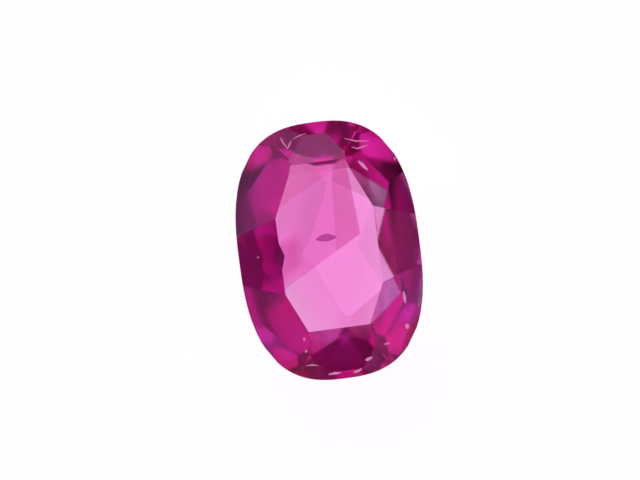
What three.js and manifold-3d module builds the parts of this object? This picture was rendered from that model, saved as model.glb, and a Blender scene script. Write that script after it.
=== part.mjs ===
// A ruby cut and polished as an elongated cushion, made the way a gem cutter makes it.
// An oval blank is ground flat facet by facet: table, crown, then the pavilion below the girdle.
// It is drawn table up with its length along Y, and stands level on the small flat facet at its bottom.

import * as THREE from "three";
import { mergeVertices } from "three/addons/utils/BufferGeometryUtils.js";
import Module from "manifold-3d";

// Driving dimensions: lengths in millimetres from the middle of the girdle, angles in degrees
const LENGTH = 7.0;
const WIDTH = 4.92;
const GIRDLE_THICKNESS = 0.16;
const OUTLINE_POWER = 2.67;
const OUTLINE_STEPS = 128;
const TABLE_HEIGHT = 0.6;
const BOTTOM_DEPTH = 2.08;

// A facet's direction is 0 towards the right side and 90 towards the top end. Its slope is from the
// table's plane, and its reach is how far from the stone's axis it passes the height its tier starts at.
const CORNER_DIRECTION = 24.5;
const CROWN_MAIN = {
  side: { slope: 24.5, reach: 1.33 },
  corner: { slope: 30.5, reach: 1.64 },
  top: { slope: 16.5, reach: 2.33 },
  topInner: { slope: 5, reach: 2.15 },
  bottom: { slope: 16.5, reach: 2.12 },
};

// The pavilion is cut unevenly, with five facets on the right side and three on the left.
// A facet that faces a corner has a twin at the stone's other end.
const PAVILION_MAIN = [
  { direction: 0, slope: 30, reach: 0.71 },
  { direction: 14.5, slope: 21, reach: 0.65 },
  { direction: 33.5, slope: 33, reach: 1.22 },
  { direction: 90, slope: 30.5, reach: 1.8 },
  { direction: -90, slope: 32.5, reach: 1.8 },
  { direction: 155.5, slope: 31.5, reach: 0.58 },
  { direction: 180, slope: 16, reach: 0.52 },
];

// The girdle tiers meet the girdle all round, so they need slopes alone
const CROWN_GIRDLE_SLOPES = {
  right: 56.5,
  left: 56.5,
  shoulder: 30,
  corner: 36.5,
  hip: 28,
  top: 39.5,
  bottom: 39.5,
};
const PAVILION_GIRDLE_SLOPES = {
  right: 56,
  left: 53.5,
  shoulder: 71.5,
  corner: 53.5,
  hip: 61,
  top: 54,
  bottom: 53,
};

const wasm = await Module();
wasm.setup();

function toSolid(geometry) {
  const bare = geometry.clone();
  bare.deleteAttribute("normal");
  bare.deleteAttribute("uv");
  const welded = mergeVertices(bare, 1e-6);
  const mesh = new wasm.Mesh({
    numProp: 3,
    vertProperties: new Float32Array(welded.attributes.position.array),
    triVerts: new Uint32Array(welded.index.array),
  });
  return new wasm.Manifold(mesh);
}

function toGeometry(solid) {
  const mesh = solid.getMesh();
  const geometry = new THREE.BufferGeometry();
  geometry.setAttribute("position", new THREE.BufferAttribute(mesh.vertProperties, 3));
  geometry.setIndex(new THREE.BufferAttribute(mesh.triVerts, 1));
  return geometry;
}

// Distance from the axis to the outline's tangent that faces a direction
function outlineReach(direction) {
  const power = OUTLINE_POWER / (OUTLINE_POWER - 1);
  const across = Math.abs((WIDTH / 2) * Math.cos(direction));
  const along = Math.abs((LENGTH / 2) * Math.sin(direction));
  return (across ** power + along ** power) ** (1 / power);
}

// The blank: a prism with the stone's rounded outline, taller than the finished stone
function makeBlank() {
  const outline = new THREE.Shape();
  for (let step = 0; step < OUTLINE_STEPS; step += 1) {
    const angle = (2 * Math.PI * step) / OUTLINE_STEPS;
    const round = (value) => Math.sign(value) * Math.abs(value) ** (2 / OUTLINE_POWER);
    const x = (WIDTH / 2) * round(Math.cos(angle));
    const y = (LENGTH / 2) * round(Math.sin(angle));
    if (step === 0) {
      outline.moveTo(x, y);
    } else {
      outline.lineTo(x, y);
    }
  }
  outline.closePath();
  const top = TABLE_HEIGHT + 0.5;
  const bottom = -BOTTOM_DEPTH - 0.5;
  const blank = new THREE.ExtrudeGeometry(outline, { depth: top - bottom, bevelEnabled: false });
  blank.translate(0, 0, bottom);
  return toSolid(blank);
}

// Grinds one flat facet. It faces a direction and up or down, and passes a point at a reach and height.
function grind(solid, { direction, slope, reach, height, facing }) {
  const BLOCK = 20;
  const around = THREE.MathUtils.degToRad(direction);
  const lean = THREE.MathUtils.degToRad(slope);
  const outward = new THREE.Vector3(Math.cos(around), Math.sin(around), 0);
  const normal = outward.clone().multiplyScalar(Math.sin(lean));
  normal.z = facing * Math.cos(lean);
  const block = new THREE.BoxGeometry(BLOCK, BLOCK, BLOCK);
  block.translate(0, 0, BLOCK / 2);
  block.applyQuaternion(new THREE.Quaternion().setFromUnitVectors(new THREE.Vector3(0, 0, 1), normal));
  block.translate(outward.x * reach, outward.y * reach, height);
  return solid.subtract(toSolid(block));
}

// Adds to each facet its twin at the stone's other end. A facet that faces a side or an end has none.
function withTwins(facets) {
  const twinned = facets.filter(({ direction }) => direction % 90 !== 0);
  return [...facets, ...twinned.map((facet) => ({ ...facet, direction: -facet.direction }))];
}

// The eight main facets of the crown meet the table, the top one over a shallow facet of its own
function crownMainTier() {
  const { side, corner, top, topInner, bottom } = CROWN_MAIN;
  const facets = [
    { direction: 0, ...side },
    { direction: CORNER_DIRECTION, ...corner },
    { direction: 90, ...top },
    { direction: 90, ...topInner },
    { direction: -90, ...bottom },
    { direction: 180 - CORNER_DIRECTION, ...corner },
    { direction: 180, ...side },
  ];
  return withTwins(facets).map((facet) => ({ ...facet, height: TABLE_HEIGHT, facing: 1 }));
}

// The sixteen facets that meet the girdle, one behind each crown main facet and one between each two
function girdleTier(slopes, height, facing) {
  const corner = CORNER_DIRECTION + 12;
  const quarter = [
    { direction: CORNER_DIRECTION / 2, slope: slopes.shoulder },
    { direction: corner, slope: slopes.corner },
    { direction: (corner + 90) / 2, slope: slopes.hip },
  ];
  const facets = [
    { direction: 0, slope: slopes.right },
    ...quarter,
    { direction: 90, slope: slopes.top },
    { direction: -90, slope: slopes.bottom },
    ...quarter.map(({ direction, slope }) => ({ direction: 180 - direction, slope })),
    { direction: 180, slope: slopes.left },
  ];
  return withTwins(facets).map(({ direction, slope }) => ({
    direction,
    slope,
    reach: outlineReach(THREE.MathUtils.degToRad(direction)),
    height,
    facing,
  }));
}

function pavilionMainTier() {
  return withTwins(PAVILION_MAIN).map((facet) => ({ ...facet, height: -BOTTOM_DEPTH, facing: -1 }));
}

const table = { direction: 0, slope: 0, reach: 0, height: TABLE_HEIGHT, facing: 1 };
const restFacet = { direction: 0, slope: 0, reach: 0, height: -BOTTOM_DEPTH, facing: -1 };
const facets = [
  table,
  ...crownMainTier(),
  ...girdleTier(CROWN_GIRDLE_SLOPES, GIRDLE_THICKNESS / 2, 1),
  ...girdleTier(PAVILION_GIRDLE_SLOPES, -GIRDLE_THICKNESS / 2, -1),
  ...pavilionMainTier(),
  restFacet,
];
const stone = facets.reduce(grind, makeBlank());

const polishedRuby = new THREE.MeshStandardMaterial({
  color: 0xd9338f,
  roughness: 0.03,
  metalness: 0,
  transparent: true,
  opacity: 0.6,
});
const ruby = new THREE.Mesh(toGeometry(stone), polishedRuby);
ruby.name = "ruby";

// The stone stands on its rest facet, over the middle of its footprint
const extent = new THREE.Box3().setFromObject(ruby, true);
const middle = extent.getCenter(new THREE.Vector3());
ruby.position.set(-middle.x, -middle.y, -extent.min.z);

const gem = new THREE.Group();
gem.add(ruby);

export default gem;
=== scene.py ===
"""A cut ruby standing table up on a glowing white panel, seen square to its table."""

import math

import bmesh
import bpy
from mathutils import Matrix, Vector


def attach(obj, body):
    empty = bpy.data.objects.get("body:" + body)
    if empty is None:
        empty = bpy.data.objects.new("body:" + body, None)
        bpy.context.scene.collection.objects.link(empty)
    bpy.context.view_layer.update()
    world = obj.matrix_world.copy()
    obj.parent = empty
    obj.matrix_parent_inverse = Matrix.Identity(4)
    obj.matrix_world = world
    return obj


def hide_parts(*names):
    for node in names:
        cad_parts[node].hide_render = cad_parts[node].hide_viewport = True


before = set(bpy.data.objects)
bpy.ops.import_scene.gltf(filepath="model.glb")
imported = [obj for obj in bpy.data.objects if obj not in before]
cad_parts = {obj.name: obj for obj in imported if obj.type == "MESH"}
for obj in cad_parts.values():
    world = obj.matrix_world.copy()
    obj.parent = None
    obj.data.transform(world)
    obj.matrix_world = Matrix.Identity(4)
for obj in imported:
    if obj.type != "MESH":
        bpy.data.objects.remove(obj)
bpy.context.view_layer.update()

MM = 0.001


# The stone's own axes, read from its largest flat face, the table
def largest_face(mesh):
    """Returns the area-weighted middle and the normal of the widest flat face."""
    groups = {}
    for polygon in mesh.polygons:
        key = tuple(round(value, 3) for value in polygon.normal)
        groups.setdefault(key, []).append(polygon)
    widest = max(groups.values(), key=lambda group: sum(polygon.area for polygon in group))
    area = sum(polygon.area for polygon in widest)
    middle = sum((polygon.center * polygon.area for polygon in widest), Vector()) / area
    return middle, widest[0].normal.copy()


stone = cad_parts["ruby"]
table_middle, table_normal = largest_face(stone.data)
LENGTHWISE = Vector((0, 1, 0))
crosswise = LENGTHWISE.cross(table_normal).normalized()

# Camera: square to the table, with the stone leaning left and a little off centre as photographed
PHOTO_WIDTH = 640
PHOTO_HEIGHT = 480
STONE_PIXEL = (329.2, 249.9)
PIXELS_PER_MM = 37.0
STONE_ROLL = math.radians(7.5)
LENS_MM = 400.0
SENSOR_MM = 36.0


def make_camera():
    data = bpy.data.cameras.new("camera")
    data.lens = LENS_MM
    data.sensor_width = SENSOR_MM
    camera = bpy.data.objects.new("camera", data)
    bpy.context.scene.collection.objects.link(camera)
    right = crosswise * math.cos(STONE_ROLL) - LENGTHWISE * math.sin(STONE_ROLL)
    up = crosswise * math.sin(STONE_ROLL) + LENGTHWISE * math.cos(STONE_ROLL)
    pixel = MM / PIXELS_PER_MM
    distance = PHOTO_WIDTH * pixel * LENS_MM / SENSOR_MM
    across = (PHOTO_WIDTH / 2 - STONE_PIXEL[0]) * pixel
    along = (STONE_PIXEL[1] - PHOTO_HEIGHT / 2) * pixel
    place = table_middle + right * across + up * along + table_normal * distance
    axes = Matrix((right, up, table_normal)).transposed()
    camera.matrix_world = Matrix.Translation(place) @ axes.to_4x4()
    data.clip_start = distance / 100
    data.clip_end = distance * 100
    bpy.context.scene.camera = camera
    return camera


make_camera()

# Ruby: clear corundum that takes out green most and blue somewhat, with straight zones where the pavilion's
# colour is darker and tinted
RUBY_IOR = 1.77
ABSORPTION_COLOUR = (0.95, 0.0, 0.76)
ABSORPTION_DENSITY = 440.0

# Each zone lies inside upright planes. A plane is a point in mm across and along the stone from its
# middle, and the way it faces in degrees. The blur is how softly the zone starts, in mm, and the tint
# is what light keeps in it.
SLANTING_EDGE = ((0.9, 0.33), 119)
RIGHT_EDGE = ((0.86, 1.06), 184)
TINTED_ZONES = {
    "upper": {"tint": (0.93, 0.66, 0.84), "blur": 0.02, "inside": [SLANTING_EDGE, RIGHT_EDGE]},
    "top": {"tint": (0.95, 0.78, 0.82), "blur": 0.02, "inside": [((0.06, 1.97), 117.5)]},
    "strip": {
        "tint": (0.91, 0.79, 0.83),
        "blur": 0.02,
        "inside": [SLANTING_EDGE, ((0.25, 1.0), -4), RIGHT_EDGE],
    },
    "left": {
        "tint": (0.85, 0.58, 0.75),
        "blur": 0.30,
        "inside": [((0.75, 0.33), 119), ((-0.65, 0.1), 178), ((-1.1, 0.6), -80)],
    },
    "lower_right": {"tint": (0.62, 0.95, 0.58), "blur": 0.30, "inside": [((0.97, -1.98), -32)]},
}

# The table is finely polished. The crown around it is less so, and the pavilion is wavy as well, as
# native cutting leaves them. The three are told apart by how far below the table they lie.
TABLE_ROUGHNESS = 0.02
CROWN_ROUGHNESS = 0.14
PAVILION_ROUGHNESS = 0.12
CROWN_BELOW_TABLE = 0.00375 * MM
GIRDLE_BELOW_TABLE = 0.60 * MM
WAVES_PER_MM = 0.8
WAVE_HEIGHT = 0.012 * MM


def node_math(tree, operation, first, second, clamp=False):
    """Adds a math node and gives its output. Each input is a number or another node's output."""
    node = tree.nodes.new("ShaderNodeMath")
    node.operation = operation
    node.use_clamp = clamp
    for socket, value in zip(node.inputs, (first, second)):
        if isinstance(value, (int, float)):
            socket.default_value = value
        else:
            tree.links.new(value, socket)
    return node.outputs[0]


def zone_mask(tree, axes, planes, blur):
    """1 on the side that every plane faces and 0 elsewhere, with a blur between."""
    mask = 1.0
    for (across, along), facing in planes:
        turn = math.radians(facing)
        x = node_math(tree, "MULTIPLY", axes["X"], math.cos(turn) / MM)
        y = node_math(tree, "MULTIPLY", axes["Y"], math.sin(turn) / MM)
        reach = across * math.cos(turn) + along * math.sin(turn)
        past = node_math(tree, "SUBTRACT", node_math(tree, "ADD", x, y), reach)
        step = node_math(tree, "MULTIPLY", past, 1 / blur, clamp=True)
        mask = node_math(tree, "MULTIPLY", mask, step)
    return mask


def zoned_colour(tree, axes, below):
    """White, darkened and tinted in each zone. It is on the pavilion alone, so that light meets it once."""
    colour = None
    for zone in TINTED_ZONES.values():
        mix = tree.nodes.new("ShaderNodeMix")
        mix.data_type = "RGBA"
        mix.blend_type = "MULTIPLY"
        mix.inputs["A"].default_value = (1, 1, 1, 1)
        if colour is not None:
            tree.links.new(colour, mix.inputs["A"])
        # The shader takes the square root of its colour at each face that light passes
        mix.inputs["B"].default_value = (*(keep**2 for keep in zone["tint"]), 1)
        mask = zone_mask(tree, axes, zone["inside"], zone["blur"])
        tree.links.new(node_math(tree, "MULTIPLY", mask, below), mix.inputs["Factor"])
        colour = mix.outputs["Result"]
    return colour


def polish(tree, height, below):
    """The roughness of the table, of the crown around it and of the pavilion below."""
    beside = node_math(tree, "LESS_THAN", height, table_middle.z - CROWN_BELOW_TABLE)
    crown_step = node_math(tree, "MULTIPLY", beside, CROWN_ROUGHNESS - TABLE_ROUGHNESS)
    pavilion_step = node_math(tree, "MULTIPLY", below, PAVILION_ROUGHNESS - CROWN_ROUGHNESS)
    return node_math(tree, "ADD", node_math(tree, "ADD", pavilion_step, crown_step), TABLE_ROUGHNESS)


def waviness(tree, place, below):
    noise = tree.nodes.new("ShaderNodeTexNoise")
    noise.inputs["Scale"].default_value = WAVES_PER_MM / MM
    noise.inputs["Detail"].default_value = 1.0
    tree.links.new(place, noise.inputs["Vector"])
    bump = tree.nodes.new("ShaderNodeBump")
    bump.inputs["Distance"].default_value = WAVE_HEIGHT
    tree.links.new(below, bump.inputs["Strength"])
    tree.links.new(noise.outputs["Fac"], bump.inputs["Height"])
    return bump.outputs["Normal"]


def new_material(name):
    """A material with its node tree and its surface shader."""
    material = bpy.data.materials.new(name)
    material.use_nodes = True
    tree = material.node_tree
    return material, tree, tree.nodes["Principled BSDF"]


def make_ruby_material():
    material, tree, surface = new_material("ruby")
    surface.inputs["IOR"].default_value = RUBY_IOR
    surface.inputs["Transmission Weight"].default_value = 1.0
    place = tree.nodes.new("ShaderNodeTexCoord").outputs["Object"]
    split = tree.nodes.new("ShaderNodeSeparateXYZ")
    tree.links.new(place, split.inputs["Vector"])
    axes = split.outputs
    below = node_math(tree, "LESS_THAN", axes["Z"], table_middle.z - GIRDLE_BELOW_TABLE)
    tree.links.new(zoned_colour(tree, axes, below), surface.inputs["Base Color"])
    tree.links.new(polish(tree, axes["Z"], below), surface.inputs["Roughness"])
    tree.links.new(waviness(tree, place, below), surface.inputs["Normal"])
    absorption = tree.nodes.new("ShaderNodeVolumeAbsorption")
    absorption.inputs["Color"].default_value = (*ABSORPTION_COLOUR, 1)
    absorption.inputs["Density"].default_value = ABSORPTION_DENSITY
    tree.links.new(absorption.outputs["Volume"], tree.nodes["Material Output"].inputs["Volume"])
    return material


# The stone's facet edges are very slightly worn, as polished edges are
EDGE_WEAR = 0.015 * MM
SAME_POINT = 0.0005 * MM
SAME_FACET = math.radians(0.5)
SHARP = math.radians(6)


def link_piece(name, form, material):
    """Makes an object of a form, fixed to the stone's body."""
    mesh = bpy.data.meshes.new(name)
    form.to_mesh(mesh)
    form.free()
    piece = bpy.data.objects.new(name, mesh)
    bpy.context.scene.collection.objects.link(piece)
    mesh.materials.append(material)
    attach(piece, "root")
    return piece


def make_polished_stone(source):
    form = bmesh.new()
    form.from_mesh(source.data)
    bmesh.ops.remove_doubles(form, verts=form.verts, dist=SAME_POINT)
    bmesh.ops.dissolve_limit(form, angle_limit=SAME_FACET, verts=form.verts, edges=form.edges)
    worn = [edge for edge in form.edges if edge.calc_face_angle(0) > SHARP]
    bmesh.ops.bevel(form, geom=worn, offset=EDGE_WEAR, segments=1, affect="EDGES", clamp_overlap=True)
    piece = link_piece("polished_ruby", form, make_ruby_material())
    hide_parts("ruby")
    return piece


polished = make_polished_stone(stone)


# Inclusions: places are in mm across and along the stone from its middle
def upper_surface(across, along):
    """The point and the normal of the polished stone's upper surface at a place."""
    start = Vector((across * MM, along * MM, 1.0))
    _, point, normal, _ = polished.ray_cast(start, Vector((0, 0, -1)))
    return point, normal


def spindle(form, stations, sides=12):
    """Makes a closed tapering solid through stations.

    Each station has a middle, a width direction and half width, and an up direction and half height.
    """
    rings = []
    for middle, sideways, half_width, upward, half_height in stations:
        ring = []
        for side in range(sides):
            angle = 2 * math.pi * side / sides
            offset = sideways * half_width * math.cos(angle) + upward * half_height * math.sin(angle)
            ring.append(form.verts.new(middle + offset))
        rings.append(ring)
    for lower, upper in zip(rings, rings[1:]):
        for side in range(sides):
            after = (side + 1) % sides
            form.faces.new((lower[side], lower[after], upper[after], upper[side]))
    form.faces.new(reversed(rings[0]))
    form.faces.new(rings[-1])
    bmesh.ops.recalc_face_normals(form, faces=form.faces)


LENS = {
    "middle": (-0.04, 0.33),
    "below_table": 1.0,
    "length": 0.60,
    "width": 0.21,
    "thickness": 0.10,
    "bow": 0.02,
}
LENS_STEPS = 24
LENS_BLUNT_TIP = 0.02
LENS_COLOUR = (0.58, 0.34, 0.54)


def make_lens_inclusion():
    """A dark flat crystal, pointed at both ends, that lies across the stone."""
    material, _, surface = new_material("dark_inclusion")
    surface.inputs["Base Color"].default_value = (*LENS_COLOUR, 1)
    surface.inputs["Roughness"].default_value = 0.0
    surface.inputs["Transmission Weight"].default_value = 1.0
    surface.inputs["IOR"].default_value = 1.0
    across, along = LENS["middle"]
    middle = Vector((across * MM, along * MM, table_middle.z - LENS["below_table"] * MM))
    stations = []
    for step in range(LENS_STEPS + 1):
        share = LENS_BLUNT_TIP + (1 - 2 * LENS_BLUNT_TIP) * step / LENS_STEPS
        lengthwise = -1 + 2 * share
        swell = 1 - lengthwise * lengthwise
        place = middle + Vector((lengthwise * LENS["length"] / 2 * MM, LENS["bow"] * MM * swell, 0))
        half_width = LENS["width"] / 2 * MM * swell
        half_height = LENS["thickness"] / 2 * MM * swell
        stations.append((place, Vector((0, 1, 0)), half_width, Vector((0, 0, 1)), half_height))
    form = bmesh.new()
    spindle(form, stations)
    return link_piece("lens_inclusion", form, material)


make_lens_inclusion()

# Feathers lie just under the crown's surface. They scatter light and also carry a painted glow. The painted
# glints are painted highlights: ribbons of the same glowing material, put where glints show. Each is a thin
# ribbon through places across and along the stone, and its width is in mm.
FEATHERS_AND_PAINTED_GLINTS = {
    "vee_left": {"width": 0.04, "places": [(-0.92, 3.21), (-0.86, 3.06), (-0.76, 2.87)]},
    "vee_right": {"width": 0.045, "places": [(-0.76, 2.87), (-0.70, 2.98), (-0.63, 3.08)]},
    "vee_tail": {"width": 0.03, "places": [(-0.60, 3.11), (-0.42, 3.18), (-0.21, 3.22)]},
    "wisp_upper": {"width": 0.04, "places": [(0.80, 2.95), (1.10, 2.84), (1.45, 2.80)]},
    "wisp_lower": {"width": 0.04, "places": [(0.97, 2.70), (1.12, 2.63), (1.26, 2.66), (1.41, 2.69)]},
    # Painted glints from here on: glowing ribbons that stand in for glints
    "painted_glint_streak_low_left": {"width": 0.045, "places": [(-1.02, -3.03), (-0.87, -3.02), (-0.70, -3.06)]},
    "painted_glint_right_long": {"width": 0.09, "places": [(1.85, -1.36), (1.86, -1.53), (1.87, -1.70)]},
    "painted_glint_right": {"width": 0.13, "places": [(1.80, -2.26), (1.83, -2.32), (1.86, -2.38)]},
    "painted_glint_right_low": {"width": 0.04, "places": [(1.14, -2.72), (1.22, -2.71), (1.30, -2.70)]},
    "painted_glint_low": {"width": 0.10, "places": [(0.58, -3.08), (0.68, -3.06), (0.78, -3.02)]},
    "painted_glint_low_middle": {"width": 0.10, "places": [(0.22, -3.37), (0.34, -3.35), (0.46, -3.30)]},
    "painted_glint_low_left": {"width": 0.10, "places": [(-0.46, -3.34), (-0.29, -3.33), (-0.12, -3.33)]},
    "painted_glint_left_low": {"width": 0.06, "places": [(-1.01, -2.66), (-0.98, -2.63), (-0.95, -2.60)]},
    "painted_glint_left": {"width": 0.06, "places": [(-1.00, -2.34), (-0.99, -2.30), (-0.98, -2.26)]},
    "painted_glint_left_middle": {"width": 0.05, "places": [(-1.96, 0.06), (-1.94, 0.06), (-1.92, 0.06)]},
    "painted_glint_right_top": {"width": 0.06, "places": [(2.08, 2.27), (2.09, 2.23), (2.10, 2.19)]},
    "painted_glint_top_right": {"width": 0.11, "places": [(1.10, 2.30), (1.20, 2.17), (1.32, 2.02)]},
}
MARK_DEPTH = 0.02 * MM
MARK_THICKNESS = 0.012 * MM
MARK_COLOUR = (1.0, 0.75, 0.88)
# Painted glow of the feathers and of the painted glints
PAINTED_GLOW = (1, 0.35, 0.65)
PAINTED_GLOW_STRENGTH = 0.4
MARK_SCATTER = 0.05 * MM


def make_painted_glow_material():
    """Broken crystal that scatters the light coming up through the stone, with a painted glow as well."""
    material, _, surface = new_material("glowing_mark")
    surface.inputs["Base Color"].default_value = (*MARK_COLOUR, 1)
    surface.inputs["Roughness"].default_value = 0.6
    surface.inputs["Subsurface Weight"].default_value = 1.0
    surface.inputs["Subsurface Radius"].default_value = (1, 1, 1)
    surface.inputs["Subsurface Scale"].default_value = MARK_SCATTER
    # Painted glow: the emission lights up the marks, though they are no lamp
    surface.inputs["Emission Color"].default_value = (*PAINTED_GLOW, 1)
    surface.inputs["Emission Strength"].default_value = PAINTED_GLOW_STRENGTH
    return material


def make_glowing_mark(name, width, places, material):
    last = len(places) - 1
    surface = [upper_surface(*place) for place in places]
    stations = []
    for index, (point, normal) in enumerate(surface):
        heading = (surface[min(index + 1, last)][0] - surface[max(index - 1, 0)][0]).normalized()
        taper = math.sin(math.pi * (0.12 + 0.76 * index / last))
        stations.append((
            point - normal * MARK_DEPTH,
            normal.cross(heading).normalized(),
            width / 2 * MM * taper,
            normal,
            MARK_THICKNESS / 2 * taper,
        ))
    form = bmesh.new()
    spindle(form, stations, sides=8)
    return link_piece(name, form, material)


painted_glow_material = make_painted_glow_material()
for glowing_mark_name, glowing_mark in FEATHERS_AND_PAINTED_GLINTS.items():
    make_glowing_mark(glowing_mark_name, glowing_mark["width"], glowing_mark["places"], painted_glow_material)

# Stage: a white panel that glows a little, as a light table does
FLOOR_SIZE = 2.0
FLOOR_GAP = 0.01 * MM
FLOOR_WHITE = 0.86
FLOOR_GLOW = 0.92


def make_floor():
    bpy.ops.mesh.primitive_plane_add(size=FLOOR_SIZE, location=(0, 0, -FLOOR_GAP))
    floor = bpy.context.object
    floor.name = "floor"
    material, _, surface = new_material("floor")
    surface.inputs["Base Color"].default_value = (FLOOR_WHITE, FLOOR_WHITE, FLOOR_WHITE, 1)
    surface.inputs["Roughness"].default_value = 0.7
    surface.inputs["Emission Color"].default_value = (1, 1, 1, 1)
    surface.inputs["Emission Strength"].default_value = FLOOR_GLOW
    floor.data.materials.append(material)


make_floor()

LAMP_DISTANCE = 0.30


def soft_light(name, azimuth, elevation, width, height, radiance):
    """A rectangular lamp that faces the stone, with its radiance in red, green and blue.

    Angles are in degrees, and azimuth 90 is +Y. Width and height are in metres.
    """
    data = bpy.data.lights.new(name, "AREA")
    data.shape = "RECTANGLE"
    data.size = width
    data.size_y = height
    data.energy = math.pi * width * height
    data.color = radiance
    lamp = bpy.data.objects.new(name, data)
    bpy.context.scene.collection.objects.link(lamp)
    around = math.radians(azimuth)
    rise = math.radians(elevation)
    outward = Vector((math.cos(rise) * math.cos(around), math.cos(rise) * math.sin(around), math.sin(rise)))
    lamp.location = outward * LAMP_DISTANCE
    lamp.rotation_euler = outward.to_track_quat("Z", "Y").to_euler()
    return lamp


# Soft violet window light from behind the stone and its upper left, and dim panels around and overhead.
# What the crown's facets mirror is mostly the dark between them.
soft_light("overhead", 270, 89, 0.26, 0.26, (0.18, 0.06, 0.14))
soft_light("back_high", 90, 52, 0.15, 0.13, (0.85, 0.46, 0.95))
soft_light("back_right_high", 45, 52, 0.15, 0.13, (0.48, 0.08, 0.36))
soft_light("back_left_high", 135, 52, 0.15, 0.13, (0.12, 0.10, 0.14))
soft_light("right_high", 0, 52, 0.15, 0.13, (0.14, 0.14, 0.04))
soft_light("back", 90, 28, 0.22, 0.11, (0.26, 0.22, 0.34))
soft_light("back_left", 135, 28, 0.22, 0.11, (0.42, 0.25, 0.60))
soft_light("back_left_low", 135, 9, 0.25, 0.085, (0.42, 0.38, 0.62))
soft_light("front_left", 225, 28, 0.22, 0.11, (0.05, 0.10, 0.05))
soft_light("front_right", 315, 28, 0.22, 0.11, (0.33, 0.17, 0.37))

# The room around is dark, and rays may cross the stone many times
LIGHT_BOUNCES = 32
room = bpy.data.worlds.new("room")
room.use_nodes = True
room.node_tree.nodes["Background"].inputs["Strength"].default_value = 0.0
bpy.context.scene.world = room
bpy.context.scene.view_settings.view_transform = "Standard"
bpy.context.scene.cycles.max_bounces = LIGHT_BOUNCES
bpy.context.scene.cycles.glossy_bounces = LIGHT_BOUNCES
bpy.context.scene.cycles.transmission_bounces = LIGHT_BOUNCES
